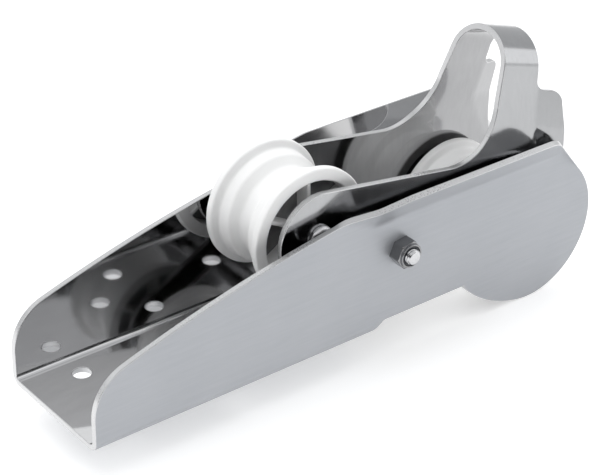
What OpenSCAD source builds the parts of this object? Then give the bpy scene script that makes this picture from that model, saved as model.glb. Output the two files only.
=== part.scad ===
// Rocking bow roller: a stainless steel channel bolts to the foredeck, and a
// cradle with two nylon rollers and an anchor hoop rocks on a bolt across it.
// X runs outboard, Y across and Z up. The origin is on the underside of the
// floor, at the middle of the four-hole fixing pattern.

/* [Channel] */
// Width over the two side plates
channel_w = 70; // [70:1:80]
// Sheet thickness of the channel and the cradle
sheet_t = 3; // [2.5:0.5:3]
// Length of the floor, from the inboard end to where the cradle hangs
floor_len = 159; // [156:1:159]
// Diameter of the six fixing holes
fixing_d = 9; // [6:0.5:10]
// Distance between the fixing holes along the floor
fixing_pitch_x = 59; // [50:1:62]
// Distance between the fixing holes across the floor
fixing_pitch_y = 37; // [30:1:40]

/* [Cradle] */
// Tip of the cradle at rest, with its outboard end down
cradle_tip = 10.9; // [8:0.1:11]
// Width over the two cheeks
cradle_w = 52; // [50:1:53]
// Width of the hoop's band, fore and aft
hoop_band = 23.3; // [20:0.1:25]

/* [Rollers] */
// Diameter of the roller flanges
roller_d = 64; // [58:1:64]
// Diameter of the rope groove in the middle of a roller
groove_d = 46; // [40:1:50]
// Width of a roller over its flanges
roller_w = 39.2; // [36:0.2:40]

/* [Fasteners] */
// Shank diameter of the pivot bolt and the two axle bolts
bolt_d = 8; // [6:1:8]

/* [Hidden] */
$fn = 96;

// Stations along X are measured from the inboard end of the floor, and the
// finished part is moved so that its origin is the fixing pattern's middle.
fixing_first_x = 27;
origin_x = fixing_first_x + fixing_pitch_x / 2;
// The two fixing holes on the centreline
fixing_mid_x = [66.5, 134];

// Side plate outline
bend_r = 5.5;
corner_r = 24;
corner_z = 17.2;
slope_r = 720;
slope_start_deg = 18.25;
plate_top = 73;
step_z = 6.3;
step_len = 7;
notch_x = 216.9;
lobe_c = [263.6, 22.3];
lobe_r = 39.3;
lobe_under_r = 69;
lobe_join_deg = -98.4;
lobe_top_deg = 43;
top_corner_r = 14;

// The top of each side plate is flared outward above the fold
fold_z = 61.5;
fold_x = 156;
flare_start_x = 138;
flare_deg = 31;

// The cradle is drawn level about its pivot, as [along, up], and then tipped
pivot = [173.5, 43];
rear_axle = [-45.4, 9];
front_axle = [80.4, -5.2];
cheek_top = 34;
rear_end_r = 22.6;
front_end_r = 35;
sweep_r = 29.5;
sweep_c = [30.5, cheek_top + sweep_r];
hoop_lean = 3.7;
hoop_foot = 38;
hoop_lean_in_deg = 10;
hoop_droop_deg = 6.4;
arch_c = 76.6;
arch_r = 19.3;
hoop_in_top = sweep_c[0] + sweep_r + hoop_lean;
hoop_out = hoop_in_top + hoop_band;
ear_top = 67.8;
ear_r = 7;
ear_fillet_r = 4.5;
ear_out = 102;
ear_flare = 0.33;
ear_low = 48;
ear_blend = 1.47;
ear_reach = 30;
stop_gap = 0.3;
cheek_low = 1;

// Fits
run_gap = 0.05;
fix_gap = 0.1;
face_gap = 0.3;
sleeve_r = 6;
hub_r = 10;
thrust_t = 1.5;
hub_half = cradle_w / 2 - sheet_t - thrust_t - face_gap;

// Roller section
rim_w = 4.2;
shoulder_d = roller_d - 8;
shoulder_w = 8;
recess_wall = 2.4;
recess_r = shoulder_d / 2 - recess_wall;
recess_depth = 9;
rib_count = 6;
rib_t = 2.4;
rib_set_back = 1.2;

// Fasteners
nut_af = 13;
nut_h = 6.4;
nut_collar_r = 6.2;
nut_collar_h = 1.6;
insert_r = 5.2;
insert_sunk = 0.3;
bevel_slope = 1.6;
low_nut_h = 3.6;
low_collar_h = 1.6;
head_h = 5.3;
washer_r = 8;
washer_t = 1.6;
bolt_end = 2.2;
dome_r = 6.5;
dome_h = 4.2;

inner_half = channel_w / 2 - sheet_t;
cheek_half = cradle_w / 2;

// Points on a round stretch from one angle to another
function arc(c, r, a0, a1, n = 24) =
    [for (i = [0 : n]) c + r * [cos(a0 + (a1 - a0) * i / n), sin(a0 + (a1 - a0) * i / n)]];
function slope_c() =
    corner_c() + (corner_r - slope_r) * [cos(90 + slope_start_deg), sin(90 + slope_start_deg)];
function corner_c() = [corner_r, corner_z];
function lobe_under_c() =
    lobe_c + (lobe_r - lobe_under_r) * [cos(lobe_join_deg), sin(lobe_join_deg)];
// Angle at which the long slope reaches the level top edge
function slope_end_deg() = asin((plate_top - slope_c()[1]) / slope_r);
// Where the straight outboard edge of the plate meets the level top edge
function top_end_x() =
    let (t = lobe_c + lobe_r * [cos(lobe_top_deg), sin(lobe_top_deg)])
    t[0] - (plate_top - t[1]) * tan(lobe_top_deg);
// Height of the plate where the flare begins
function flare_start_z() =
    slope_c()[1] + sqrt(pow(slope_r, 2) - pow(flare_start_x - slope_c()[0], 2));
// A point of the tipped cradle's surroundings, seen from the level cradle
function levelled(p) =
    let (d = p - pivot)
    [d[0] * cos(cradle_tip) - d[1] * sin(cradle_tip), d[0] * sin(cradle_tip) + d[1] * cos(cradle_tip)];

module placed() {
    translate([-origin_x, 0, 0]) children();
}

// Lays an XZ outline down as a plate of thickness t whose far face is at y
module upright(y, t) {
    translate([0, y, 0]) rotate([90, 0, 0]) linear_extrude(t) children();
}

module side_outline() {
    bend = (90 + lobe_top_deg) / 2;
    top_c = [top_end_x() - top_corner_r * tan((90 - lobe_top_deg) / 2), plate_top - top_corner_r];
    join = lobe_under_c();
    notch_deg = -180 + acos((join[0] - notch_x) / lobe_under_r);
    polygon(concat(
        [[0, 0]],
        arc(corner_c(), corner_r, 180, 90 + slope_start_deg),
        arc(slope_c(), slope_r, 90 + slope_start_deg, 180 - slope_end_deg()),
        arc(top_c, top_corner_r, 90, lobe_top_deg, 10),
        arc(lobe_c, lobe_r, lobe_top_deg, lobe_join_deg, 60),
        arc(join, lobe_under_r, lobe_join_deg, notch_deg, 20),
        [[notch_x, step_z]],
        arc([floor_len + step_len, step_z - 3], 3, 90, 140, 6),
        arc([floor_len - 1, 3], 3, -40, -90, 6)));
}

// The part of the side outline that stays upright, below the fold
module upright_region() {
    polygon([[-10, -40], [330, -40], [330, fold_z], [fold_x, fold_z], [flare_start_x, flare_start_z()],
        [flare_start_x, plate_top + 10], [-10, plate_top + 10]]);
}

module flare_region() {
    polygon([[fold_x, fold_z], [330, fold_z], [330, plate_top + 10], [fold_x, plate_top + 10]]);
}

// Flared strip of the near side, hinged on the fold line
module flare_strip() {
    stretch = 1 / cos(flare_deg);
    translate([0, -channel_w / 2, fold_z]) rotate([flare_deg, 0, 0]) {
        translate([0, sheet_t, 0]) rotate([90, 0, 0]) linear_extrude(sheet_t)
            scale([1, stretch]) translate([0, -fold_z]) intersection() {
                side_outline();
                flare_region();
            }
    }
}

// Slants children across the part: Y falls by slope_x along X and by slope_z
// up Z, and keeps its place at the point [x, z]
module slanted(x, z, slope_x, slope_z) {
    multmatrix([[1, 0, 0, 0], [-slope_x, 1, -slope_z, slope_x * x + slope_z * z], [0, 0, 1, 0]]) children();
}

// Triangle that blends the upright slope into the flared strip
module flare_blend() {
    drop = (flare_start_z() - fold_z) / (fold_x - flare_start_x);
    slanted(fold_x, fold_z, drop * tan(flare_deg), tan(flare_deg))
        upright(-channel_w / 2 + sheet_t, sheet_t) intersection() {
            side_outline();
            polygon([[flare_start_x, flare_start_z()], [fold_x, fold_z], [fold_x, plate_top + 10],
                [flare_start_x, plate_top + 10]]);
        }
}

// Inside of the fold, along the flared strip
module fold_fill() {
    intersection() {
        translate([fold_x, -inner_half, fold_z]) rotate([90, 0, 90]) linear_extrude(lobe_c[0] + lobe_r - fold_x)
            polygon([[-sheet_t, 0], [0, 0], [-sheet_t + sheet_t * cos(flare_deg), sheet_t * sin(flare_deg)]]);
        upright(-inner_half, sheet_t) side_outline();
    }
}

module near_side() {
    upright(-channel_w / 2 + sheet_t, sheet_t) intersection() {
        side_outline();
        upright_region();
    }
    flare_strip();
    flare_blend();
    fold_fill();
}

module both_sides() {
    children();
    mirror([0, 1, 0]) children();
}

// Takes the square corner off the bends along the bottom of the channel
module bend_trim() {
    translate([-1, 0, 0]) rotate([90, 0, 90]) linear_extrude(floor_len + step_len + 1) difference() {
        translate([-channel_w / 2 - 1, -1]) square(bend_r + 1);
        translate([-channel_w / 2 + bend_r, bend_r]) circle(bend_r);
    }
}

// Inside of the bends, where the floor runs up into the sides
module bend_fill() {
    inner_r = bend_r - sheet_t;
    rotate([90, 0, 90]) linear_extrude(floor_len - 3) difference() {
        translate([-inner_half, sheet_t]) square(inner_r);
        translate([-inner_half + inner_r, sheet_t + inner_r]) circle(inner_r);
    }
}

module fixing_holes() {
    for (x = [0, fixing_pitch_x], y = [-1, 1])
        translate([fixing_first_x + x, y * fixing_pitch_y / 2, -1]) cylinder(d = fixing_d, h = sheet_t + 2);
    for (x = fixing_mid_x)
        translate([x, 0, -1]) cylinder(d = fixing_d, h = sheet_t + 2);
}

module outer_channel() {
    color("lightsteelblue") placed() difference() {
        union() {
            translate([0, -inner_half, 0]) cube([floor_len, 2 * inner_half, sheet_t]);
            both_sides() near_side();
            both_sides() bend_fill();
        }
        both_sides() bend_trim();
        fixing_holes();
        translate([pivot[0], channel_w, pivot[1]]) rotate([90, 0, 0])
            cylinder(r = bolt_d / 2 + fix_gap, h = 2 * channel_w);
    }
}

// Moves a level shape about the pivot to the tipped cradle's place
module tip() {
    placed() translate([pivot[0], 0, pivot[1]]) rotate([0, cradle_tip, 0]) children();
}

module cradle_outline() {
    low_in = levelled([floor_len + stop_gap, cheek_low]);
    waist = levelled([floor_len + stop_gap, 20]);
    front_low_deg = 215 + cradle_tip;
    ear_side = [ear_out, ear_top - ear_r] - front_axle;
    front_high_deg = atan2(ear_side[1], ear_side[0]) - acos(front_end_r / norm(ear_side));
    polygon(concat(
        [low_in, waist],
        arc(rear_axle, rear_end_r, 270, 90, 40),
        arc(sweep_c, sweep_r, -90, 0),
        [[hoop_in_top, arch_c + arch_r + 1], [hoop_out, arch_c + arch_r + 1]],
        arc([hoop_out + ear_fillet_r, ear_top + ear_fillet_r], ear_fillet_r, 180, 270, 8),
        arc([ear_out - ear_r, ear_top - ear_r], ear_r, 90, 0, 8),
        arc(front_axle, front_end_r, front_high_deg, front_low_deg - 360, 50)));
}

// Section across the cradle: upright cheeks, legs that lean in, round arch.
// The arch and the legs' bends fall by hoop_droop_deg towards the outboard end
module hoop_section(half, r) {
    leg_top = [r * cos(hoop_lean_in_deg), arch_c + r * sin(hoop_lean_in_deg)];
    polygon(concat(
        [[-half, -channel_w], [-half, hoop_foot]],
        arc([0, arch_c], r, 180 - hoop_lean_in_deg, hoop_lean_in_deg, 40),
        [[half, hoop_foot], [half, -channel_w]]));
}

// Bent sheet of the cradle, over the stretch of its outline given as children
module cradle_sheet() {
    intersection() {
        upright(channel_w / 2, channel_w) intersection() {
            cradle_outline();
            children();
        }
        translate([hoop_in_top, 0, arch_c]) rotate([0, hoop_droop_deg, 0])
            translate([-3 * channel_w, 0, -arch_c]) rotate([90, 0, 90]) linear_extrude(5 * channel_w)
                difference() {
                    hoop_section(cheek_half, arch_r);
                    hoop_section(cheek_half - sheet_t, arch_r - sheet_t);
                }
    }
}

// Near half of an ear stretch, slanted outward from the hoop's foot
module near_ear(slope_z) {
    slanted(hoop_out, ear_low, ear_flare, slope_z) intersection() {
        cradle_sheet() children();
        translate([0, -channel_w, -channel_w]) cube([2 * channel_w, channel_w, 3 * channel_w]);
    }
}

module rocking_cradle() {
    blend_z = ear_low - ear_reach * ear_blend;
    color("gainsboro") tip() difference() {
        union() {
            cradle_sheet() difference() {
                square(6 * channel_w, center = true);
                polygon([[hoop_out, 2 * channel_w], [hoop_out, ear_low], [hoop_out + ear_reach, blend_z],
                    [hoop_out + ear_reach, 2 * channel_w]]);
            }
            both_sides() near_ear(0)
                translate([hoop_out, ear_low]) square([ear_reach, channel_w]);
            both_sides() near_ear(ear_flare / ear_blend)
                polygon([[hoop_out, ear_low], [hoop_out + ear_reach, blend_z], [hoop_out + ear_reach, ear_low]]);
        }
        for (p = [[0, 0], rear_axle, front_axle])
            translate([p[0], channel_w, p[1]]) rotate([90, 0, 0])
                cylinder(r = bolt_d / 2 + run_gap, h = 2 * channel_w);
    }
}

module roller_section() {
    polygon([
        [sleeve_r + run_gap, -hub_half], [hub_r, -hub_half], [hub_r, -roller_w / 2 + recess_depth],
        [recess_r, -roller_w / 2 + recess_depth], [recess_r, -roller_w / 2],
        [roller_d / 2 - 1, -roller_w / 2], [roller_d / 2, -roller_w / 2 + 1],
        [roller_d / 2, -roller_w / 2 + rim_w], [shoulder_d / 2, -roller_w / 2 + rim_w + 1],
        [shoulder_d / 2, -roller_w / 2 + rim_w + shoulder_w], [groove_d / 2, -3.5],
        [groove_d / 2, 3.5], [shoulder_d / 2, roller_w / 2 - rim_w - shoulder_w],
        [shoulder_d / 2, roller_w / 2 - rim_w - 1], [roller_d / 2, roller_w / 2 - rim_w],
        [roller_d / 2, roller_w / 2 - 1], [roller_d / 2 - 1, roller_w / 2],
        [recess_r, roller_w / 2], [recess_r, roller_w / 2 - recess_depth],
        [hub_r, roller_w / 2 - recess_depth], [hub_r, hub_half], [sleeve_r + run_gap, hub_half]]);
}

module roller() {
    rotate([90, 0, 0]) {
        rotate_extrude() roller_section();
        for (i = [0 : rib_count - 1], side = [-1, 1])
            rotate([0, 0, i * 360 / rib_count + 32])
                translate([hub_r - 0.5, -rib_t / 2, side > 0 ? roller_w / 2 - recess_depth - 0.5 :
                    -roller_w / 2 + rib_set_back])
                    cube([recess_r - hub_r + 1, rib_t, recess_depth - rib_set_back + 0.5]);
    }
}

module at_axle(p) {
    tip() translate([p[0], 0, p[1]]) children();
}

// Ring across the part, from one Y to another, with a true bore
module ring(r_out, r_in, y0, y1) {
    translate([0, y1, 0]) rotate([90, 0, 0]) difference() {
        cylinder(r = r_out, h = y1 - y0);
        translate([0, 0, -1]) cylinder(r = r_in, h = y1 - y0 + 2);
    }
}

// Shank across the part with a small bevel on its near end
module shank(y0, y1) {
    r = bolt_d / 2;
    translate([0, y1, 0]) rotate([90, 0, 0]) cylinder(r = r, h = y1 - y0 - 0.8);
    translate([0, y0 + 0.8, 0]) rotate([90, 0, 0]) cylinder(r1 = r, r2 = r - 0.8, h = 0.8);
}

// Hexagon standing on Z = 0, with its top corners bevelled
module hexagon(h) {
    intersection() {
        rotate([0, 0, 8]) cylinder(d = nut_af / cos(30), h = h, $fn = 6);
        cylinder(r1 = nut_af / 2 + bevel_slope * h, r2 = nut_af / 2, h = h);
    }
}

// Lock nut on a plate's face, with a collar that holds its plastic ring
module lock_nut(face_y, hex_h, collar_h) {
    translate([0, face_y, 0]) rotate([90, 0, 0]) difference() {
        union() {
            hexagon(hex_h);
            translate([0, 0, hex_h - 0.5])
                cylinder(r1 = nut_collar_r, r2 = nut_collar_r - 0.5, h = collar_h + 0.5);
        }
        translate([0, 0, -1]) cylinder(d = bolt_d, h = hex_h + collar_h + 2);
        translate([0, 0, hex_h]) cylinder(r = insert_r, h = collar_h + 1);
    }
}

module nut_insert(face_y, hex_h, collar_h) {
    ring(insert_r, bolt_d / 2, face_y - hex_h - collar_h + insert_sunk, face_y - hex_h);
}

module pivot_place() {
    placed() translate([pivot[0], 0, pivot[1]]) children();
}

module pivot_bolt() {
    color("silver") pivot_place() {
        shank(-channel_w / 2 - nut_h - nut_collar_h - bolt_end, channel_w / 2 + washer_t);
        translate([0, channel_w / 2 + washer_t, 0]) rotate([-90, 0, 0]) hexagon(head_h);
    }
}

module pivot_washer() {
    color("silver") pivot_place()
        ring(washer_r, bolt_d / 2 + fix_gap, channel_w / 2, channel_w / 2 + washer_t);
}

module pivot_nut() {
    color("silver") pivot_place() lock_nut(-channel_w / 2, nut_h, nut_collar_h);
}

module pivot_nut_insert() {
    color("dimgray") pivot_place() nut_insert(-channel_w / 2, nut_h, nut_collar_h);
}

module pivot_spacers() {
    color("white") pivot_place() both_sides()
        ring(washer_r, bolt_d / 2 + fix_gap, -inner_half, -cheek_half - face_gap);
}

module pivot_tube() {
    color("silver") pivot_place()
        ring(hub_r - 3, bolt_d / 2 + run_gap, -cheek_half + sheet_t, cheek_half - sheet_t);
}

module far_side() {
    mirror([0, 1, 0]) children();
}

module axle_bolt(p) {
    at_axle(p) far_side() {
        shank(-cheek_half - low_nut_h - low_collar_h, cheek_half);
        translate([0, cheek_half, 0]) rotate([-90, 0, 0]) intersection() {
            cylinder(r = dome_r, h = dome_h);
            translate([0, 0, dome_h - 2 * dome_r]) sphere(r = 2 * dome_r);
        }
    }
}

module axle_nut(p) {
    at_axle(p) far_side() lock_nut(-cheek_half, low_nut_h, low_collar_h);
}

module axle_nut_insert(p) {
    at_axle(p) far_side() nut_insert(-cheek_half, low_nut_h, low_collar_h);
}

module axle_sleeve(p) {
    at_axle(p) ring(sleeve_r, bolt_d / 2 + fix_gap, -cheek_half + sheet_t, cheek_half - sheet_t);
}

module thrust_washers(p) {
    at_axle(p) both_sides()
        ring(hub_r, sleeve_r + fix_gap, -cheek_half + sheet_t, -cheek_half + sheet_t + thrust_t);
}

module rear_roller() { color("white") at_axle(rear_axle) roller(); }
module rear_axle_bolt() { color("silver") axle_bolt(rear_axle); }
module rear_axle_nut() { color("silver") axle_nut(rear_axle); }
module rear_axle_nut_insert() { color("dimgray") axle_nut_insert(rear_axle); }
module rear_axle_sleeve() { color("silver") axle_sleeve(rear_axle); }
module rear_thrust_washers() { color("white") thrust_washers(rear_axle); }

module front_roller() { color("white") at_axle(front_axle) roller(); }
module front_axle_bolt() { color("silver") axle_bolt(front_axle); }
module front_axle_nut() { color("silver") axle_nut(front_axle); }
module front_axle_nut_insert() { color("dimgray") axle_nut_insert(front_axle); }
module front_axle_sleeve() { color("silver") axle_sleeve(front_axle); }
module front_thrust_washers() { color("white") thrust_washers(front_axle); }

outer_channel();
rocking_cradle();
rear_roller();
front_roller();
pivot_bolt();
pivot_washer();
pivot_nut();
pivot_nut_insert();
pivot_spacers();
pivot_tube();
rear_axle_bolt();
rear_axle_nut();
rear_axle_nut_insert();
rear_axle_sleeve();
rear_thrust_washers();
front_axle_bolt();
front_axle_nut();
front_axle_nut_insert();
front_axle_sleeve();
front_thrust_washers();
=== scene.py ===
"""Bow roller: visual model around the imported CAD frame. Shapes are in millimetres, scaled to metres last."""
import math

import bmesh
import bpy
from mathutils import Matrix, Vector
from mathutils.geometry import delaunay_2d_cdt


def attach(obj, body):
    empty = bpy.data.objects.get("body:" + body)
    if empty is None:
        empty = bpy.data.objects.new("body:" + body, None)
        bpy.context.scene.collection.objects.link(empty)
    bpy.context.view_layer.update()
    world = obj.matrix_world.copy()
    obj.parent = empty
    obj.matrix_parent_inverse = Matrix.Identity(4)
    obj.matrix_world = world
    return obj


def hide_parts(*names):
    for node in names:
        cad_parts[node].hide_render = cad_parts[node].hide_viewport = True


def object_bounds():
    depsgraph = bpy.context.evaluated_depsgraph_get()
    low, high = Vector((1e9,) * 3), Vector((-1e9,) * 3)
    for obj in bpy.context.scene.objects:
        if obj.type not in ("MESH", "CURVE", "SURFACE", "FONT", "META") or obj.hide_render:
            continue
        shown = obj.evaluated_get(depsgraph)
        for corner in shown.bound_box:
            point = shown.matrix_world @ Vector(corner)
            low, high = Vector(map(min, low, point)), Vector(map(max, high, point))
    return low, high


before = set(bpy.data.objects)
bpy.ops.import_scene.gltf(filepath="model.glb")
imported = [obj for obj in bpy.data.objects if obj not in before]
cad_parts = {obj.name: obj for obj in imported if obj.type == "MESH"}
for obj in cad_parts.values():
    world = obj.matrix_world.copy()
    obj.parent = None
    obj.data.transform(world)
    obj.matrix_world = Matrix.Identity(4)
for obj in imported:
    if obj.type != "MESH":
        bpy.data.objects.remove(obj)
cad_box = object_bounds()
MM = 0.001

# ---------------------------------------------------------------- camera
scene = bpy.context.scene
cam_data = bpy.data.cameras.new("camera")
cam_data.sensor_fit = "HORIZONTAL"
cam_data.sensor_width = 36.0
cam_data.lens = 113.1
cam_data.clip_start = 0.01
cam_data.clip_end = 60.0
camera = bpy.data.objects.new("camera", cam_data)
scene.collection.objects.link(camera)
right = Vector((0.785377, -0.618733, 0.018773))
down = Vector((-0.302484, -0.410058, -0.860439))
forward = Vector((0.540080, 0.670091, -0.509207))
turn = Matrix((right, -down, -forward)).transposed()
camera.matrix_world = Matrix.Translation((-0.40255, -0.60294, 0.5027)) @ turn.to_4x4()
scene.camera = camera

# ---------------------------------------------------------------- the part's sizes, in mm
ORIGIN_X = 56.5
HALF_W = 35.0
SHEET = 3.0
BEND_R = 5.5
FLOOR_LEN = 159.0
STEP_Z, STEP_LEN = 6.3, 7.0
STEP_R, STEP_FOOT = 3.0, (1.3, 1.07)
DECK_HOLE_R = 4.5
PATTERN_X, PATTERN_Y = (27, 86), (-18.5, 18.5)
CENTRE_X = (66.5, 134)
PLATE_TOP = 73.0
CORNER_R, CORNER_Z = 24.0, 17.2
SLOPE_R, SLOPE_START = 720.0, math.radians(18.25)
NOTCH_X = 216.9
LOBE_C, LOBE_R = (263.6, 22.3), 39.3
LOBE_UNDER_R, LOBE_JOIN = 69.0, math.radians(-98.4)
LOBE_TOP = math.radians(43)
TOP_CORNER_R = 14.0
FOLD_Z, FOLD_X, FLARE_START_X = 61.5, 156.0, 138.0
FLARE = math.radians(31)
FOLD_R, FOLD_CORNER_R = 1.8, 2.5
PIVOT = (173.5, 43.0)
TIP = math.radians(10.9)
REAR, FRONT = (-45.4, 9.0), (80.4, -5.2)
CHEEK_HALF = 26.0
REAR_END_R, FRONT_END_R = 22.6, 35.0
SWEEP_C, SWEEP_R = (30.5, 63.5), 29.5
HOOP_IN_FOOT, HOOP_IN_TOP = 60.0, 63.7
HOOP_OUT = 87.0
HOOP_FOOT = 38.0
ARCH_C, ARCH_R = 76.6, 19.3
LEAN_TOP = math.radians(10)
DROOP = math.tan(math.radians(6.4))
EAR_TOP, EAR_R, EAR_FILLET, EAR_OUT = 67.8, 7.0, 4.5, 102.0
EAR_FLARE, EAR_LOW, EAR_BLEND = 0.33, 48.0, 1.47
EAR_BEND_R, LEAN_BEND_R = 1.6, 3.0
STOP_X = 159.3
ROLLER_R, RECESS_R, ROLLER_HALF = 32.0, 25.6, 19.6
POCKET_FLOOR = ROLLER_HALF - 9
HUB_R, BORE_R, HUB_HALF = 10.0, 6.05, 21.2
SLEEVE_R, TUBE_R, SLEEVE_HALF = 6.0, 7.0, 23
RIB_COUNT, RIB_TURN, RIB_H, RIB_T = 6, 32, 8.4, 2.4
BOLT_R = 4.0
LOOSE, RUNNING = 0.1, 0.05
NUT_AF = 13.0
PIVOT_NUT_H, AXLE_NUT_H, COLLAR_H = 6.4, 3.6, 1.6
COLLAR_R = 6.3
WASHER_R, WASHER_T = 8.0, 1.6
HEAD_H, BOLT_END = 5.3, 2.2
DOME_R, DOME_BASE, DOME_H = 6.5, 1.2, 3.0
THREAD_PITCH, THREAD_DEPTH, THREAD_LEN = 1.25, 0.55, 12
HEX_TURN = 8
SPACER_Y, SPACER_HALF = 29.15, 2.85
THRUST_Y, THRUST_HALF = 22.25, 0.75
EDGE_R = 0.4          # rounding of a sheet's cut edges
ARC_DIP = 0.293       # how far the middle of a quarter round stands in, for a radius of 1
SAME_POINT = 0.05     # points of an outline closer than this are one
MERGE = 0.002         # points of a nut or bolt closer than this are one
GRID_GAP = 0.7        # inner points of a flat pattern keep this far from its edges
TINY = 0.001          # radius of a profile's end on its axis
SHARP_DOT = 0.8       # edge normals further apart than this meet at a corner
LEVEL_FACING = (1, 0.7, 0, 0, -0.7, -1)      # how far each level of a rounded edge looks outward


def arc(c, r, a0, a1, n=24):
    """Points on a round stretch, from angle a0 to a1 in radians."""
    return [(c[0] + r * math.cos(a0 + (a1 - a0) * i / n), c[1] + r * math.sin(a0 + (a1 - a0) * i / n))
            for i in range(n + 1)]


def deg(*angles):
    return tuple(math.radians(a) for a in angles)


def ramp(d, r):
    """Zero below -r, d above r, and a round bend between them."""
    return 0.0 if d <= -r else d if d >= r else (d + r) ** 2 / (4 * r)


def ramp_slope(d, r):
    return 0.0 if d <= -r else 1.0 if d >= r else (d + r) / (2 * r)


# ---------------------------------------------------------------- materials
MIX_FACTOR = 0
COLOUR_A, COLOUR_B, COLOUR_OUT = 6, 7, 2     # a Mix node's sockets for colours
FLOAT_A, FLOAT_B, FLOAT_OUT = 2, 3, 0        # and for plain numbers


def nodes_of(name):
    m = bpy.data.materials.new(name)
    m.use_nodes = True
    tree = m.node_tree
    return m, tree, tree.nodes["Principled BSDF"]


def add(tree, kind, **values):
    n = tree.nodes.new(kind)
    for k, v in values.items():
        if k in n.inputs:
            n.inputs[k].default_value = v
        else:
            setattr(n, k, v)
    return n


def noise(tree, scale, stretch=(1, 1, 1), detail=4.0, rough=0.5):
    """Noise in the piece's own coordinates, scale in features per metre."""
    coord = add(tree, "ShaderNodeTexCoord")
    mapping = add(tree, "ShaderNodeMapping")
    mapping.inputs["Scale"].default_value = stretch
    tex = add(tree, "ShaderNodeTexNoise", Scale=scale, Detail=detail, Roughness=rough)
    tree.links.new(coord.outputs["Object"], mapping.inputs["Vector"])
    tree.links.new(mapping.outputs["Vector"], tex.inputs["Vector"])
    return tex


def span(tree, source, lo, hi, from_lo=0.3, from_hi=0.7):
    n = add(tree, "ShaderNodeMapRange")
    n.inputs["From Min"].default_value = from_lo
    n.inputs["From Max"].default_value = from_hi
    n.inputs["To Min"].default_value = lo
    n.inputs["To Max"].default_value = hi
    tree.links.new(source, n.inputs["Value"])
    return n.outputs["Result"]


def tint(tree, source, low, high):
    n = add(tree, "ShaderNodeMix", data_type="RGBA")
    n.inputs[COLOUR_A].default_value = (*low, 1)
    n.inputs[COLOUR_B].default_value = (*high, 1)
    tree.links.new(source, n.inputs[MIX_FACTOR])
    return n.outputs[COLOUR_OUT]


def bump(tree, bsdf, source, strength, distance):
    n = add(tree, "ShaderNodeBump", Strength=strength, Distance=distance)
    tree.links.new(source, n.inputs["Height"])
    tree.links.new(n.outputs["Normal"], bsdf.inputs["Normal"])


CLOUD_SCALE, GRAIN_SHARE = 22, 0.45          # soft clouding of a steel, and how much of its shade is grain


def steel(name, low, high, rough_lo, rough_hi, grain, grain_scale, grain_depth=0.00001, metallic=1.0,
          strength=0.1):
    """A steel between two shades, with soft clouding and a fine grain, which grain stretches."""
    m, tree, bsdf = nodes_of(name)
    cloud = noise(tree, CLOUD_SCALE, detail=3)
    fine = noise(tree, grain_scale, stretch=grain, detail=6, rough=0.6)
    both = add(tree, "ShaderNodeMix", data_type="FLOAT")
    both.inputs[MIX_FACTOR].default_value = GRAIN_SHARE
    tree.links.new(cloud.outputs["Fac"], both.inputs[FLOAT_A])
    tree.links.new(fine.outputs["Fac"], both.inputs[FLOAT_B])
    shade = span(tree, both.outputs[FLOAT_OUT], 0, 1)
    tree.links.new(tint(tree, shade, low, high), bsdf.inputs["Base Color"])
    tree.links.new(span(tree, both.outputs[FLOAT_OUT], rough_lo, rough_hi), bsdf.inputs["Roughness"])
    bsdf.inputs["Metallic"].default_value = metallic
    bump(tree, bsdf, fine.outputs["Fac"], strength, grain_depth)
    return m


film = steel("film_steel", (0.385, 0.398, 0.422), (0.455, 0.467, 0.49), 0.40, 0.50, grain=(0.05, 1, 1),
             grain_scale=900, grain_depth=0.00002, metallic=0.65)
mirror = steel("polished_steel", (0.60, 0.60, 0.605), (0.67, 0.67, 0.675), 0.035, 0.075, grain=(0.2, 1, 1),
               grain_scale=300, strength=0.03)
satin = steel("satin_steel", (0.35, 0.353, 0.36), (0.41, 0.413, 0.42), 0.10, 0.17, grain=(1, 1, 0.15),
              grain_scale=700, strength=0.05)
inner = steel("cradle_inner_steel", (0.31, 0.31, 0.315), (0.37, 0.37, 0.375), 0.04, 0.09, grain=(1, 1, 0.15),
              grain_scale=500, strength=0.04)
cut_edge = steel("cut_edge_steel", (0.56, 0.56, 0.565), (0.68, 0.68, 0.685), 0.24, 0.34, grain=(1, 1, 1),
                 grain_scale=1500)
nut_steel = steel("nut_steel", (0.24, 0.24, 0.245), (0.33, 0.33, 0.335), 0.16, 0.26, grain=(1, 6, 1),
                  grain_scale=700, grain_depth=0.00002, strength=0.12)
turned = steel("turned_steel", (0.50, 0.50, 0.51), (0.66, 0.66, 0.67), 0.18, 0.32, grain=(1, 6, 1),
               grain_scale=700, grain_depth=0.00002, strength=0.15)


def nylon_material():
    m, tree, bsdf = nodes_of("nylon")
    cloud = noise(tree, 60, detail=4)
    fine = noise(tree, 1600, detail=3)
    shade = span(tree, cloud.outputs["Fac"], 0, 1)
    tree.links.new(tint(tree, shade, (0.89, 0.89, 0.885), (0.93, 0.93, 0.925)), bsdf.inputs["Base Color"])
    tree.links.new(span(tree, cloud.outputs["Fac"], 0.38, 0.5), bsdf.inputs["Roughness"])
    bsdf.inputs["Subsurface Weight"].default_value = 0.12
    bsdf.inputs["Subsurface Radius"].default_value = (0.004, 0.004, 0.004)
    bump(tree, bsdf, fine.outputs["Fac"], 0.12, 0.00003)
    return m


def painted_pocket_shade_material():
    """The pockets of a roller: the same nylon, with painted shade, a dark grey base colour that stands in for
    the shade deep in the pockets.
    """
    m, tree, bsdf = nodes_of("nylon_pocket_painted_shade")
    cloud = noise(tree, 90, detail=4)
    fine = noise(tree, 1600, detail=3)
    shade = span(tree, cloud.outputs["Fac"], 0, 1)
    # Painted shade: this dark grey base colour stands in for the shade inside the pockets.
    tree.links.new(tint(tree, shade, (0.20, 0.20, 0.205), (0.36, 0.36, 0.365)), bsdf.inputs["Base Color"])
    tree.links.new(span(tree, cloud.outputs["Fac"], 0.4, 0.6), bsdf.inputs["Roughness"])
    bump(tree, bsdf, fine.outputs["Fac"], 0.12, 0.00003)
    return m


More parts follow.
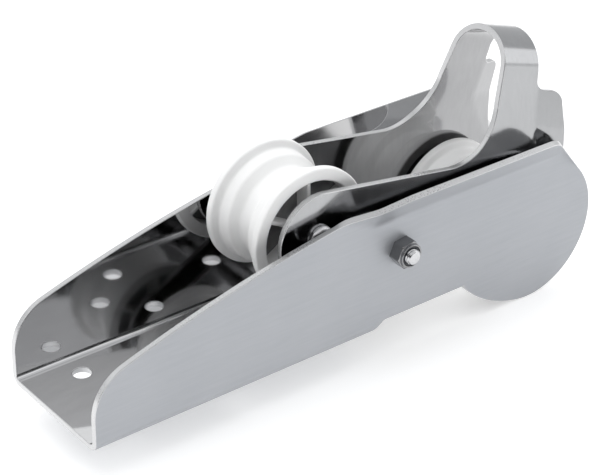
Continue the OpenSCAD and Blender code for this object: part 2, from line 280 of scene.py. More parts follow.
def dark_plastic():
    m, tree, bsdf = nodes_of("dark_nylon")
    fine = noise(tree, 900, detail=3)
    shade = span(tree, fine.outputs["Fac"], 0, 1)
    tree.links.new(tint(tree, shade, (0.015, 0.018, 0.024), (0.04, 0.045, 0.055)), bsdf.inputs["Base Color"])
    tree.links.new(span(tree, fine.outputs["Fac"], 0.4, 0.6), bsdf.inputs["Roughness"])
    bump(tree, bsdf, fine.outputs["Fac"], 0.2, 0.00003)
    return m


nylon = nylon_material()
pocket_painted_shade = painted_pocket_shade_material()
ring_plastic = dark_plastic()


# ---------------------------------------------------------------- mesh builders
def finish_piece(bm, name, body, node, mats, at=(0, 0, 0), merge=0.0):
    """Turns a bmesh in mm into a smooth piece that rides on a body and stands for its CAD node.

    A corner layer named facing holds the exact normals of a bent sheet. Other pieces get weighted ones.
    """
    if merge:
        bmesh.ops.remove_doubles(bm, verts=bm.verts, dist=merge)
    bmesh.ops.transform(bm, matrix=Matrix.Scale(MM, 4), verts=bm.verts)
    mesh = bpy.data.meshes.new(name)
    bm.to_mesh(mesh)
    bm.free()
    for m in mats:
        mesh.materials.append(m)
    mesh.polygons.foreach_set("use_smooth", [True] * len(mesh.polygons))
    obj = bpy.data.objects.new(name, mesh)
    obj.location = Vector(at) * MM
    scene.collection.objects.link(obj)
    exact = mesh.attributes.get("facing")
    if exact:
        normals = [tuple(d.vector) for d in exact.data]
        mesh.attributes.remove(exact)
        mesh.normals_split_custom_set(normals)
    else:
        weighted = obj.modifiers.new("weighted", "WEIGHTED_NORMAL")
        weighted.keep_sharp = True
        weighted.weight = 80
    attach(obj, body)
    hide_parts(node)


def area_of(loop):
    return sum(a[0] * b[1] - b[0] * a[1] for a, b in zip(loop, loop[1:] + loop[:1])) / 2


def clean(loop):
    out = []
    for p in loop:
        if not out or math.dist(p, out[-1]) > SAME_POINT:
            out.append(p)
    if math.dist(out[0], out[-1]) <= SAME_POINT:
        out.pop()
    return out


def inset(loop, d):
    """Moves a counter-clockwise loop inward by d, with its corners mitred."""
    out = []
    for i, p in enumerate(loop):
        a = Vector(p) - Vector(loop[i - 1])
        b = Vector(loop[(i + 1) % len(loop)]) - Vector(p)
        a.normalize(), b.normalize()
        na, nb = Vector((-a.y, a.x)), Vector((-b.y, b.x))
        m = na + nb
        m = m / max(m.length_squared, 0.5) * 2
        out.append((p[0] + m.x * d, p[1] + m.y * d))
    return out


def inside(p, loop):
    hit = False
    for (x0, y0), (x1, y1) in zip(loop, loop[1:] + loop[:1]):
        if (y0 > p[1]) != (y1 > p[1]) and p[0] < (x1 - x0) * (p[1] - y0) / (y1 - y0) + x0:
            hit = not hit
    return hit


def near_loop(p, loop):
    for (x0, y0), (x1, y1) in zip(loop, loop[1:] + loop[:1]):
        dx, dy = x1 - x0, y1 - y0
        t = max(0.0, min(1.0, ((p[0] - x0) * dx + (p[1] - y0) * dy) / (dx * dx + dy * dy + 1e-9)))
        if (p[0] - x0 - t * dx) ** 2 + (p[1] - y0 - t * dy) ** 2 < GRID_GAP * GRID_GAP:
            return True
    return False


def sheet_mesh(outline, holes, columns, rows, place):
    """A bent sheet with rounded cut edges. The outline is flat; place(a, b, depth) bends it."""
    outline = clean(outline)
    if area_of(outline) < 0:
        outline.reverse()
    loops = [outline]
    for h in holes:
        h = clean(h)
        if area_of(h) > 0:
            h.reverse()
        loops.append(h)
    faced = [inset(l, EDGE_R) for l in loops]
    points, edges, starts = [], [], []
    for l in faced:
        s = len(points)
        starts.append(s)
        points += [Vector(p) for p in l]
        edges += [(s + i, s + (i + 1) % len(l)) for i in range(len(l))]
    for a in columns:
        for b in rows:
            p = (a, b)
            if inside(p, faced[0]) and not near_loop(p, faced[0]) \
                    and not any(inside(p, h) or near_loop(p, h) for h in faced[1:]):
                points.append(Vector(p))
    out, _, tris, origin, _, _ = delaunay_2d_cdt(points, edges, [], 0, 1e-6)
    index = {}
    for i, src in enumerate(origin):
        for s in src:
            index[s] = i
    bm = bmesh.new()
    layer = bm.loops.layers.float_vector.new("facing")
    made = []
    top = [bm.verts.new(place(p.x, p.y, 0.0)) for p in out]
    low = [bm.verts.new(place(p.x, p.y, SHEET)) for p in out]
    outward = [facing(place, p) for p in out]
    for t in tris:
        c = sum((out[i] for i in t), Vector((0, 0))) / len(t)
        if not inside(c, faced[0]) or any(inside(c, h) for h in faced[1:]):
            continue
        for verts, m, sign in ((top, 0, 1), (low, 1, -1)):
            face = bm.faces.new([verts[i] for i in (t if sign > 0 else reversed(t))])
            face.material_index = m
            made.append((face, {verts[i]: outward[i] * sign for i in t}))
    for l, s in zip(loops, starts):
        made += rim(bm, l, [index[s + i] for i in range(len(l))], top, low, place)
    loose = [v for v in bm.verts if not v.link_faces]
    bmesh.ops.delete(bm, geom=loose, context="VERTS")
    bmesh.ops.recalc_face_normals(bm, faces=bm.faces)
    for face, normals in made:
        for corner in face.loops:
            corner[layer] = normals[corner.vert]
    return bm


def facing(place, p):
    """Normal of the sheet's outer face at a point of its flat pattern."""
    return (place(p[0], p[1], 0.0) - place(p[0], p[1], 1.0)).normalized()


def rim(bm, loop, inner, top, low, place):
    """The rounded cut edge around one loop of a sheet, with the normals of its corners."""
    count = len(loop)
    dip = EDGE_R * ARC_DIP
    levels = [[top[i] for i in inner]]
    for ins, depth in ((dip, dip), (0, EDGE_R), (0, SHEET - EDGE_R), (dip, SHEET - dip)):
        edge_loop = inset(loop, ins) if ins else loop
        levels.append([bm.verts.new(place(p[0], p[1], depth)) for p in edge_loop])
    levels.append([low[i] for i in inner])
    flat = [facing(place, p) for p in loop]
    within = inset(loop, EDGE_R / 2)
    middle = SHEET / 2
    made = []
    sides = []
    for i in range(count):
        p, q = loop[i], loop[(i + 1) % count]
        along = place(q[0], q[1], middle) - place(p[0], p[1], middle)
        edge = along.cross(flat[i] + flat[(i + 1) % count]).normalized()
        outer = place(p[0], p[1], middle) - place(within[i][0], within[i][1], middle)
        sides.append(edge if edge.dot(outer) > 0 else -edge)

    def side_at(i, own):
        """Edge normal at corner i of the loop: shared across a gentle bend, its own at a sharp one."""
        other = sides[i] if own != i else sides[i - 1]
        return sides[own] if sides[own].dot(other) < SHARP_DOT else (sides[own] + other).normalized()

    for upper, lower, f0, f1 in zip(levels, levels[1:], LEVEL_FACING, LEVEL_FACING[1:]):
        for i in range(count):
            j = (i + 1) % count
            face = bm.faces.new([upper[j], upper[i], lower[i], lower[j]])
            face.material_index = 2
            normals = {}
            for verts, f in ((upper, f0), (lower, f1)):
                for c in (i, j):
                    edge = math.sqrt(1 - f * f)
                    normals[verts[c]] = (flat[c] * f + side_at(c, i) * edge).normalized()
            made.append((face, normals))
    return made


def grid(lo, hi, step):
    n = max(1, round((hi - lo) / step))
    return [lo + (hi - lo) * i / n for i in range(n + 1)]


# ---------------------------------------------------------------- the channel
BEND_START = HALF_W - BEND_R
BEND_LEN = BEND_R * math.pi / 2
SIDE_OFFSET = BEND_START + BEND_LEN - BEND_R
corner_c = (CORNER_R, CORNER_Z)
slope_c = (CORNER_R + (CORNER_R - SLOPE_R) * math.cos(math.pi / 2 + SLOPE_START),
           CORNER_Z + (CORNER_R - SLOPE_R) * math.sin(math.pi / 2 + SLOPE_START))
slope_end = math.asin((PLATE_TOP - slope_c[1]) / SLOPE_R)
lobe_tip = (LOBE_C[0] + LOBE_R * math.cos(LOBE_TOP), LOBE_C[1] + LOBE_R * math.sin(LOBE_TOP))
top_end_x = lobe_tip[0] - (PLATE_TOP - lobe_tip[1]) * math.tan(LOBE_TOP)
top_c = (top_end_x - TOP_CORNER_R * math.tan((math.pi / 2 - LOBE_TOP) / 2), PLATE_TOP - TOP_CORNER_R)
under_c = (LOBE_C[0] + (LOBE_R - LOBE_UNDER_R) * math.cos(LOBE_JOIN),
           LOBE_C[1] + (LOBE_R - LOBE_UNDER_R) * math.sin(LOBE_JOIN))
notch_a = -math.pi + math.acos((under_c[0] - NOTCH_X) / LOBE_UNDER_R)
flare_start_z = slope_c[1] + math.sqrt(SLOPE_R ** 2 - (FLARE_START_X - slope_c[0]) ** 2)
FLARE_DROP = (flare_start_z - FOLD_Z) / (FOLD_X - FLARE_START_X)


def flat_of(z):
    """Distance from the channel's middle, along the sheet, to height z on a side."""
    if z >= BEND_R:
        return z + SIDE_OFFSET
    return BEND_START + BEND_R * math.acos(1 - max(z, 0.0) / BEND_R)


def flare(x, z):
    """How far the flared top leans out at a point, and its slopes along x and z."""
    d = z - (FOLD_Z + FLARE_DROP * ramp(FOLD_X - x, FOLD_CORNER_R))
    k = math.tan(FLARE)
    s = ramp_slope(d, FOLD_R) * k
    return ramp(d, FOLD_R) * k, s * FLARE_DROP * ramp_slope(FOLD_X - x, FOLD_CORNER_R), s


def channel_place(x, b, depth):
    side = 1 if b >= 0 else -1
    a = abs(b)
    if a <= BEND_START:
        p, n = (x, a, 0.0), (0, 0, 1)
    elif a < BEND_START + BEND_LEN:
        f = (a - BEND_START) / BEND_R
        p = (x, BEND_START + BEND_R * math.sin(f), BEND_R - BEND_R * math.cos(f))
        n = (0, -math.sin(f), math.cos(f))
    else:
        z = a - SIDE_OFFSET
        lean, fx, fz = flare(x, z)
        p = (x, HALF_W + lean, z)
        n = Vector((fx, -1, fz)).normalized()
    return Vector((p[0] + n[0] * depth - ORIGIN_X, side * (p[1] + n[1] * depth), p[2] + n[2] * depth))


side = (arc(corner_c, CORNER_R, math.pi, math.pi / 2 + SLOPE_START, 28)
        + arc(slope_c, SLOPE_R, math.pi / 2 + SLOPE_START, math.pi - slope_end, 60)
        + arc(top_c, TOP_CORNER_R, math.pi / 2, LOBE_TOP, 12)
        + arc(LOBE_C, LOBE_R, LOBE_TOP, LOBE_JOIN, 90)
        + arc(under_c, LOBE_UNDER_R, LOBE_JOIN, notch_a, 24)
        + [(NOTCH_X, STEP_Z)]
        + arc((FLOOR_LEN + STEP_LEN, STEP_Z - STEP_R), STEP_R, *deg(90, 140), 8)
        + [(FLOOR_LEN + STEP_FOOT[0], STEP_FOOT[1])])


def circle(c, r, n=40):
    turns = [2 * math.pi * i / n for i in range(n)]
    return [(c[0] + r * math.cos(a), c[1] + r * math.sin(a)) for a in turns]


holes = [circle((x, y), DECK_HOLE_R, 48) for x in PATTERN_X for y in PATTERN_Y]
holes += [circle((x, 0), DECK_HOLE_R, 48) for x in CENTRE_X]
holes += [circle((PIVOT[0], s * flat_of(PIVOT[1])), BOLT_R + LOOSE) for s in (-1, 1)]

# Rows and columns of the flat pattern's grid: close across a bend, and wide on the flat.
bend_rows = [BEND_START + BEND_LEN * i / 8 for i in range(9)]
fold_rows = [FOLD_Z + SIDE_OFFSET + d for d in grid(-FOLD_R, FOLD_R, 0.45)]
side_rows = bend_rows + grid(bend_rows[-1] + 4, FOLD_Z + SIDE_OFFSET - 3, 6) + fold_rows \
    + grid(FOLD_Z + SIDE_OFFSET + 3, PLATE_TOP + SIDE_OFFSET, 3)
rows = sorted(set([-b for b in side_rows] + grid(-BEND_START + 3, BEND_START - 3, 7) + side_rows))
columns = grid(3, FLARE_START_X - 4, 5) + grid(FLARE_START_X, FOLD_X + 6, 1.0) + grid(FOLD_X + 9, 300, 5)


def lobe_flat(x, z):
    """Flat length at a point of a side. The lobes stay upright below the bend's height."""
    return flat_of(z) if x < NOTCH_X - 1 else SIDE_OFFSET + z


def lobe_place(x, b, depth):
    """Bends the flat pattern, but for the lobes, which go straight down."""
    a = abs(b)
    if x > NOTCH_X - 8 and a < BEND_START + BEND_LEN:
        return Vector((x - ORIGIN_X, (1 if b >= 0 else -1) * (HALF_W - depth), a - SIDE_OFFSET))
    return channel_place(x, b, depth)


flat_side = [(x, lobe_flat(x, z)) for x, z in side] + [(FLOOR_LEN, BEND_START)]
outline = flat_side + [(x, -b) for x, b in reversed(flat_side)]
outline += [(0.0, -b) for b in reversed(bend_rows)] + [(0.0, b) for b in bend_rows]
finish_piece(sheet_mesh(outline, holes, columns, rows, lobe_place),
             "channel_sheet", "channel", "outer_channel", [film, mirror, cut_edge])

# ---------------------------------------------------------------- the cradle
LEAN = (CHEEK_HALF - ARCH_R * math.cos(LEAN_TOP)) / (ARCH_C + ARCH_R * math.sin(LEAN_TOP) - HOOP_FOOT)
LEG_END = ARCH_C + ARCH_R * math.sin(LEAN_TOP)
MID = LEG_END + ARCH_R * (math.pi / 2 - LEAN_TOP)


def droop(u):
    """How far the hoop's section has dropped at u."""
    return (u - HOOP_IN_TOP) * DROOP


def cradle_point(u, b):
    """Outer point and inward normal of the near half, in level coordinates [along, across, up]."""
    if b > LEG_END:
        f = LEAN_TOP + (b - LEG_END) / ARCH_R
        return (Vector((u, ARCH_R * math.cos(f), ARCH_C + ARCH_R * math.sin(f) - droop(u))),
                Vector((-math.sin(f) * DROOP, -math.cos(f), -math.sin(f))).normalized())
    w = b - droop(u)
    d = (u - HOOP_OUT) + min(0.0, w - EAR_LOW) / EAR_BLEND
    e, s = ramp(d, EAR_BEND_R) * EAR_FLARE, ramp_slope(d, EAR_BEND_R) * EAR_FLARE
    g = CHEEK_HALF - LEAN * ramp(b - HOOP_FOOT, LEAN_BEND_R)
    lean = -LEAN * ramp_slope(b - HOOP_FOOT, LEAN_BEND_R)
    slope = lean + (s / EAR_BLEND if w < EAR_LOW else 0.0)
    return Vector((u, g + e, w)), Vector((s + lean * DROOP, -1, slope)).normalized()


def tipped(u, y, w):
    return Vector((PIVOT[0] + u * math.cos(TIP) + w * math.sin(TIP) - ORIGIN_X, y,
                   PIVOT[1] + w * math.cos(TIP) - u * math.sin(TIP)))


def cradle_place(u, sigma, depth):
    hand = 1 if sigma >= 0 else -1
    p, n = cradle_point(u, MID - abs(sigma))
    q = p + n * depth
    return tipped(q.x, hand * q.y, q.z)


def levelled(x, z):
    dx, dz = x - PIVOT[0], z - PIVOT[1]
    return (dx * math.cos(TIP) - dz * math.sin(TIP), dx * math.sin(TIP) + dz * math.cos(TIP))


ear_side = (EAR_OUT - FRONT[0], EAR_TOP - EAR_R - FRONT[1])
front_high = math.atan2(ear_side[1], ear_side[0]) - math.acos(FRONT_END_R / math.hypot(*ear_side))
front_low = math.radians(215) + TIP - 2 * math.pi


def hoop_in(w):
    return HOOP_IN_FOOT + (HOOP_IN_TOP - HOOP_IN_FOOT) * (w - SWEEP_C[1]) / (ARCH_C + ARCH_R + 1 - SWEEP_C[1])


arch = [(MID - LEG_END) * i / 20 for i in range(21)]


def arch_w(b):
    return ARCH_C + ARCH_R * math.sin(LEAN_TOP + b / ARCH_R)


low_half = list(reversed(arc(SWEEP_C, SWEEP_R, *deg(-90, 0), 36)))
low_half += arc(REAR, REAR_END_R, *deg(90, 270), 48)
low_half += [levelled(STOP_X, 20), levelled(STOP_X, 1)]
low_half += arc(FRONT, FRONT_END_R, front_low, front_high, 60)
foot = low_half[-1]
low_half += [(foot[0] + (EAR_OUT - foot[0]) * t, foot[1] + (EAR_TOP - EAR_R - foot[1]) * t)
             for t in grid(0.04, 0.96, 0.04)]
low_half += arc((EAR_OUT - EAR_R, EAR_TOP - EAR_R), EAR_R, *deg(0, 90), 12)
low_half += arc((HOOP_OUT + EAR_FILLET, EAR_TOP + EAR_FILLET), EAR_FILLET, *deg(270, 180), 10)
half = [(hoop_in(arch_w(b)), LEG_END + b) for b in reversed(arch[:-1])]
half += [(u, w + droop(u)) for u, w in low_half]
half += [(HOOP_OUT, b) for b in grid(EAR_TOP + EAR_FILLET + 5, LEG_END - 2, 4)]
half += [(HOOP_OUT, LEG_END + b) for b in arch[:-1]]
near = [(u, -(MID - b)) for u, b in half]
outline = near + [(HOOP_OUT, 0.0)] + [(u, -s) for u, s in reversed(near)] + [(hoop_in(arch_w(arch[-1])), 0.0)]
holes = [[(u, s * (MID - w - droop(u))) for u, w in circle(c, BOLT_R + RUNNING)]
         for c in ((0, 0), REAR, FRONT) for s in (-1, 1)]
levels = grid(-45, 32, 7) + grid(HOOP_FOOT - LEAN_BEND_R, HOOP_FOOT + LEAN_BEND_R, 0.75) \
    + grid(44, LEG_END - 3, 5) + [LEG_END + b for b in arch]
rows = sorted(set(s * (MID - b) for b in levels for s in (-1, 1)))
columns = grid(-66, HOOP_IN_FOOT - 4, 6) + grid(HOOP_IN_FOOT, HOOP_OUT - 2, 3) \
    + grid(HOOP_OUT - EAR_BEND_R, HOOP_OUT + EAR_BEND_R, 0.4) + grid(HOOP_OUT + 3, 114, 2)
finish_piece(sheet_mesh(outline, holes, columns, rows, cradle_place),
             "cradle_sheet", "cradle", "rocking_cradle", [satin, inner, cut_edge])


# ---------------------------------------------------------------- turned pieces
def rounded(profile, radius, n=4, closed=True):
    """Rounds the corners of a profile [(r, y), ...]."""
    out = []
    count = len(profile)
    for i, p in enumerate(profile):
        if not closed and i in (0, count - 1):
            out.append(p)
            continue
        p = Vector(p)
        a = Vector(profile[i - 1]) - p
        b = Vector(profile[(i + 1) % count]) - p
        cut = min(radius, a.length * 0.45, b.length * 0.45)
        a.normalize(), b.normalize()
        if abs(a.angle(b) - math.pi) < 0.05 or cut < 0.02:
            out.append(tuple(p))
            continue
        s, e = p + a * cut, p + b * cut
        for k in range(n + 1):
            t = k / n
            out.append(tuple(s * (1 - t) ** 2 + p * 2 * t * (1 - t) + e * t ** 2))
    return out


def lathe_into(bm, profile, segments=96, shape=None, material=None):
    """Turns a closed profile [(r, y), ...] about the Y axis. shape(r, y, angle) may move each point."""
    rings = []
    for i in range(segments):
        a = 2 * math.pi * i / segments
        ring = []
        for r, y in profile:
            rr, yy = shape(r, y, a) if shape else (r, y)
            ring.append(bm.verts.new((rr * math.cos(a), yy, rr * math.sin(a))))
        rings.append(ring)
    count = len(profile)
    for i in range(segments):
        j = (i + 1) % segments
        for k in range(count):
            m = (k + 1) % count
            f = bm.faces.new([rings[i][k], rings[j][k], rings[j][m], rings[i][m]])
            if material:
                mid = ((profile[k][0] + profile[m][0]) / 2, (profile[k][1] + profile[m][1]) / 2)
                f.material_index = material(*mid)


def turned_piece(name, body, node, mats, at, profiles):
    bm = bmesh.new()
    for profile in profiles:
        lathe_into(bm, profile)
    bmesh.ops.recalc_face_normals(bm, faces=bm.faces)
    finish_piece(bm, name, body, node, mats, at)


def tube(r_out, r_in, y0, y1, edge=0.35):
    return rounded([(r_in, y0), (r_out, y0), (r_out, y1), (r_in, y1)], edge)


PIVOT_AT = (PIVOT[0] - ORIGIN_X, 0, PIVOT[1])
REAR_AT = tuple(tipped(REAR[0], 0, REAR[1]))
FRONT_AT = tuple(tipped(FRONT[0], 0, FRONT[1]))


# ---------------------------------------------------------------- rollers
GROOVE_SIDE = [(ROLLER_R, 15.4), (28.2, 14.5), (27.8, 7.4), (23.3, 4.0)]
GROOVE_FLOOR = [(22.9, 1.5), (22.9, -1.5)]


def roller(name, at, body, node):
    bm = bmesh.new()
    end = [(BORE_R, HUB_HALF), (HUB_R, HUB_HALF), (HUB_R, POCKET_FLOOR), (RECESS_R, POCKET_FLOOR),
           (RECESS_R, ROLLER_HALF), (ROLLER_R, ROLLER_HALF)] + GROOVE_SIDE
    profile = rounded(end + GROOVE_FLOOR + [(r, -y) for r, y in reversed(end)], 1.1, 5)

    # Faces deep in the pockets take the second material, whose dark grey base colour is painted shade.
    def pocket_shade_mask(r, y):
        return 1 if r < RECESS_R - 0.1 and POCKET_FLOOR - 0.5 < abs(y) < ROLLER_HALF - 1.3 else 0

    lathe_into(bm, profile, 160, material=pocket_shade_mask)
    bmesh.ops.recalc_face_normals(bm, faces=bm.faces)
    body_mesh = bpy.data.meshes.new(name + "_body")
    bm.to_mesh(body_mesh)
    bm.free()
    ribs = bmesh.new()
    for i in range(RIB_COUNT):
        for s in (-1, 1):
            a = math.radians(i * 360 / RIB_COUNT + RIB_TURN)
            made = bmesh.ops.create_cube(ribs, size=1)["verts"]
            bmesh.ops.scale(ribs, vec=(RECESS_R - HUB_R + 1.2, RIB_H, RIB_T), verts=made)
            for v in made:
                if v.co.y * s > 0:
                    v.co.z *= 0.8
            bmesh.ops.translate(ribs, vec=((RECESS_R + HUB_R) / 2, s * (POCKET_FLOOR + 3.6), 0), verts=made)
            bmesh.ops.rotate(ribs, cent=(0, 0, 0), matrix=Matrix.Rotation(-a, 3, "Y"), verts=made)
    tops = [e for e in ribs.edges if all(abs(v.co.y) > 14 for v in e.verts)]
    bmesh.ops.bevel(ribs, geom=tops, offset=0.5, segments=3, affect="EDGES", profile=0.6)
    bmesh.ops.recalc_face_normals(ribs, faces=ribs.faces)
    rib_mesh = bpy.data.meshes.new(name + "_ribs")
    ribs.to_mesh(rib_mesh)
    ribs.free()
    a = bpy.data.objects.new(name + "_a", body_mesh)
    b = bpy.data.objects.new(name + "_b", rib_mesh)
    for o in (a, b):
        scene.collection.objects.link(o)
        o.data.materials.append(nylon)
        o.data.materials.append(pocket_painted_shade)
    cut = a.modifiers.new("join", "BOOLEAN")
    cut.operation, cut.solver, cut.object = "UNION", "EXACT", b
    bpy.context.view_layer.update()
    joined = bpy.data.meshes.new_from_object(a.evaluated_get(bpy.context.evaluated_depsgraph_get()))
    bm = bmesh.new()
    bm.from_mesh(joined)
    for o in (a, b):
        bpy.data.objects.remove(o)
    finish_piece(bm, name, body, node, [nylon, pocket_painted_shade], at)


roller("rear_roller_nylon", REAR_AT, "rear_roller", "rear_roller")
roller("front_roller_nylon", FRONT_AT, "front_roller", "front_roller")


# ---------------------------------------------------------------- nuts and bolts
def hex_shape(top_y, outward, twist):
    """Makes the rings outside the bore hexagonal, with corners bevelled towards top_y."""
    def shape(r, y, a):
        if r < NUT_AF / 2 - 0.05:
            return r, y
        d = (math.degrees(a) - twist) % 60 - 30
        flat = NUT_AF / 2 / math.cos(math.radians(d))
        grow = r - NUT_AF / 2
        rr = min(flat, NUT_AF / 2 + grow * 10) if grow < 0.2 else flat
        drop = (flat - NUT_AF / 2) / 1.6
        yy = y
        if grow > 0.2 and abs(y - top_y) < 0.01:
            yy = y - outward * drop
        return rr, yy
    return shape


def far_side(bm):
    bmesh.ops.scale(bm, vec=(1, -1, 1), verts=bm.verts)


def nut_piece(name, body, node, at, face, hex_h, far=False):
    """A lock nut: hexagon, then a rolled collar that grips its plastic ring. It is made on the near face."""
    top = face - hex_h
    lip = top - COLLAR_H
    bm = bmesh.new()
    flat = NUT_AF / 2
    hexagon = [(BOLT_R, face), (flat, face), (flat + 1, face), (flat + 1, top), (flat, top)]
    collar = rounded([(COLLAR_R, top), (6.2, top - 0.25), (6.05, lip + 0.2), (5.75, lip), (5.2, lip + 0.15),
                      (5.15, top)], 0.25, 3, closed=False)
    lathe_into(bm, hexagon + collar + [(BOLT_R, top)], 144, hex_shape(top, -1, HEX_TURN))
    if far:
        far_side(bm)
    bmesh.ops.recalc_face_normals(bm, faces=bm.faces)
    finish_piece(bm, name, body, node, [nut_steel], at, merge=MERGE)


def insert_piece(name, body, node, at, face, hex_h, far=False):
    top = face - hex_h
    lip = top - COLLAR_H + 0.35
    bore = BOLT_R + RUNNING
    bm = bmesh.new()
    lathe_into(bm, rounded([(bore, top), (5.1, top), (5.1, lip), (bore, lip + 0.1)], 0.3))
    if far:
        far_side(bm)
    bmesh.ops.recalc_face_normals(bm, faces=bm.faces)
    finish_piece(bm, name, body, node, [ring_plastic], at)


def thread(y0):
    """A cut thread on the shank whose near end is at y0."""
    def shape(r, y, a):
        if abs(r - BOLT_R) < 0.01 and y0 + 0.7 < y < y0 + THREAD_LEN - 0.1:
            phase = (y / THREAD_PITCH - a / (2 * math.pi)) % 1.0
            return r - THREAD_DEPTH * abs(2 * phase - 1), y
        return r, y
    return shape


def threaded_end(y0):
    """Profile of a shank from its bevelled end at y0 to the end of its thread, in fine steps."""
    steps = [(BOLT_R, y) for y in grid(y0 + 0.8, y0 + THREAD_LEN, 0.16)]
    return [(TINY, y0), (BOLT_R - 1.0, y0), (BOLT_R - 0.75, y0 + 0.12)] + steps


def pivot_bolt():
    bm = bmesh.new()
    y0 = -HALF_W - PIVOT_NUT_H - COLLAR_H - BOLT_END
    head = HALF_W + WASHER_T
    lathe_into(bm, threaded_end(y0) + [(BOLT_R, head), (TINY, head)], 96, thread(y0))
    flat = NUT_AF / 2
    top = head + HEAD_H
    head_profile = [(TINY, head), (flat, head), (flat + 1, head), (flat + 1, top), (flat, top), (5.4, top),
                    (5.0, top - 0.25), (TINY, top - 0.35)]
    lathe_into(bm, head_profile, 144, hex_shape(top, 1, HEX_TURN))
    bmesh.ops.recalc_face_normals(bm, faces=bm.faces)
    finish_piece(bm, "pivot_bolt_steel", "channel", "pivot_bolt", [turned], PIVOT_AT,
                 merge=MERGE)


def axle_bolt(name, node, at):
    """Axle with a domed head on the near side, and its thread on the far end."""
    bm = bmesh.new()
    y0 = -CHEEK_HALF - AXLE_NUT_H - COLLAR_H
    dome = [(DOME_R * math.cos(t), CHEEK_HALF + DOME_BASE + DOME_H * math.sin(t))
            for t in (math.radians(90 * i / 12) for i in range(12))]
    dome.append((TINY, CHEEK_HALF + DOME_BASE + DOME_H))
    head = [(BOLT_R, CHEEK_HALF), (DOME_R - 0.2, CHEEK_HALF), (DOME_R, CHEEK_HALF + 0.2)]
    lathe_into(bm, threaded_end(y0) + head + dome, 96, thread(y0))
    far_side(bm)
    bmesh.ops.recalc_face_normals(bm, faces=bm.faces)
    finish_piece(bm, name, "cradle", node, [turned], at, merge=MERGE)


pivot_bolt()
nut_piece("pivot_nut_steel", "channel", "pivot_nut", PIVOT_AT, -HALF_W, PIVOT_NUT_H)
insert_piece("pivot_nut_ring", "channel", "pivot_nut_insert", PIVOT_AT, -HALF_W, PIVOT_NUT_H)
turned_piece("pivot_washer_steel", "channel", "pivot_washer", [turned], PIVOT_AT,
             [tube(WASHER_R, BOLT_R + LOOSE, HALF_W, HALF_W + WASHER_T)])
turned_piece("pivot_spacer_rings", "channel", "pivot_spacers", [nylon], PIVOT_AT,
             [tube(WASHER_R, BOLT_R + LOOSE, s * SPACER_Y - SPACER_HALF, s * SPACER_Y + SPACER_HALF, 0.5)
              for s in (-1, 1)])
turned_piece("pivot_tube_steel", "cradle", "pivot_tube", [turned], PIVOT_AT,
             [tube(TUBE_R, BOLT_R + RUNNING, -SLEEVE_HALF, SLEEVE_HALF, 0.5)])
for end, at in (("rear", REAR_AT), ("front", FRONT_AT)):
    axle_bolt(f"{end}_axle_bolt_steel", f"{end}_axle_bolt", at)
    nut_piece(f"{end}_axle_nut_steel", "cradle", f"{end}_axle_nut", at, -CHEEK_HALF, AXLE_NUT_H, far=True)
    insert_piece(f"{end}_axle_nut_ring", "cradle", f"{end}_axle_nut_insert", at, -CHEEK_HALF, AXLE_NUT_H,
                 far=True)
    turned_piece(f"{end}_sleeve_steel", "cradle", f"{end}_axle_sleeve", [turned], at,
                 [tube(SLEEVE_R, BOLT_R + LOOSE, -SLEEVE_HALF, SLEEVE_HALF)])
    turned_piece(f"{end}_thrust_rings", "cradle", f"{end}_thrust_washers", [nylon], at,
                 [tube(HUB_R, SLEEVE_R + LOOSE, s * THRUST_Y - THRUST_HALF, s * THRUST_Y + THRUST_HALF, 0.3)
                  for s in (-1, 1)])

# ---------------------------------------------------------------- floor and light
FLOOR_GAP = 0.0001
FLOOR_HALF = 12.0
floor_z = cad_box[0][2] - FLOOR_GAP


def stage_material():
    m, tree, bsdf = nodes_of("stage_floor")
    cloud = noise(tree, 3, detail=2)
    shade = span(tree, cloud.outputs["Fac"], 0, 1)
    tree.links.new(tint(tree, shade, (0.86, 0.86, 0.86), (0.88, 0.88, 0.88)), bsdf.inputs["Base Color"])
    bsdf.inputs["Roughness"].default_value = 0.9
    bsdf.inputs["Specular IOR Level"].default_value = 0.1
    bsdf.inputs["Emission Color"].default_value = (1, 1, 1, 1)
    bsdf.inputs["Emission Strength"].default_value = 0.36
    return m


bm = bmesh.new()
bm.faces.new([bm.verts.new((x * FLOOR_HALF, y * FLOOR_HALF, floor_z))
              for x, y in ((-1, -1), (1, -1), (1, 1), (-1, 1))])
mesh = bpy.data.meshes.new("stage_floor")
bm.to_mesh(mesh)
bm.free()
mesh.materials.append(stage_material())
floor = bpy.data.objects.new("stage_floor", mesh)
scene.collection.objects.link(floor)


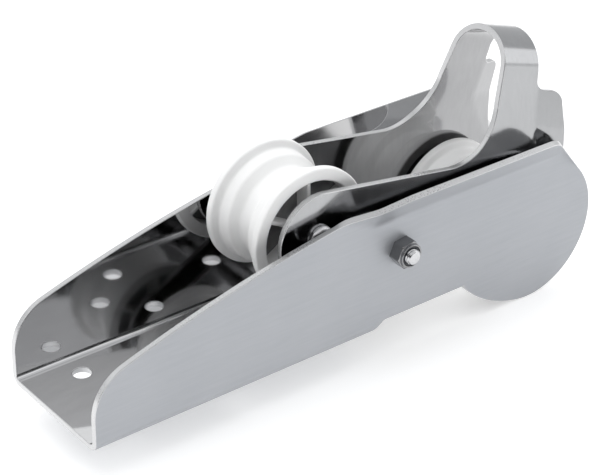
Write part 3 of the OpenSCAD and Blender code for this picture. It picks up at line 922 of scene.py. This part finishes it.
def softbox(name, place, target, width, height, power):
    data = bpy.data.lights.new(name, "AREA")
    data.shape = "RECTANGLE"
    data.size, data.size_y = width, height
    data.energy = power
    obj = bpy.data.objects.new(name, data)
    scene.collection.objects.link(obj)
    obj.location = place
    obj.rotation_euler = (Vector(target) - Vector(place)).to_track_quat("-Z", "Y").to_euler()
    return obj


top_light = softbox("top_light", (0.15, 0.25, 1.8), (0.1, 0, 0), 2.6, 2.2, 18)
top_light.visible_glossy = False
softbox("right_light", (1.25, -0.75, 0.45), (0.1, 0, 0.05), 0.8, 0.7, 1.6)
softbox("left_light", (-1.1, 0.3, 0.7), (0.05, 0, 0.04), 0.8, 0.9, 1.8)

# A studio that is dark inboard and near, pale outboard and behind, and brightest high up.
world = bpy.data.worlds.new("studio")
world.use_nodes = True
scene.world = world
tree = world.node_tree
back = tree.nodes["Background"]
coord = add(tree, "ShaderNodeTexCoord")
split = add(tree, "ShaderNodeSeparateXYZ")
tree.links.new(coord.outputs["Generated"], split.inputs[0])
behind = span(tree, split.outputs["Y"], 0.0, 1.0, -0.15, 0.35)
outboard = span(tree, split.outputs["X"], 0.0, 1.0, 0.57, 0.7)
most = add(tree, "ShaderNodeMath", operation="MAXIMUM")
tree.links.new(outboard, most.inputs[0])
tree.links.new(behind, most.inputs[1])
level = tint(tree, most.outputs[0], (0.05, 0.05, 0.052), (0.78, 0.79, 0.80))
sky = add(tree, "ShaderNodeMix", data_type="RGBA")
sky.inputs[COLOUR_B].default_value = (1.15, 1.16, 1.17, 1)
tree.links.new(span(tree, split.outputs["Z"], 0.0, 1.0, 0.5, 0.62), sky.inputs[MIX_FACTOR])
tree.links.new(level, sky.inputs[COLOUR_A])
zenith = add(tree, "ShaderNodeMix", data_type="RGBA")
zenith.inputs[COLOUR_B].default_value = (0.72, 0.73, 0.74, 1)
tree.links.new(span(tree, split.outputs["Z"], 0.0, 1.0, 0.68, 0.84), zenith.inputs[MIX_FACTOR])
tree.links.new(sky.outputs[COLOUR_OUT], zenith.inputs[COLOUR_A])
tree.links.new(zenith.outputs[COLOUR_OUT], back.inputs["Color"])
back.inputs["Strength"].default_value = 1.0

scene.view_settings.view_transform = "Standard"
scene.view_settings.look = "None"
scene.view_settings.exposure = 0.0

bpy.context.view_layer.update()
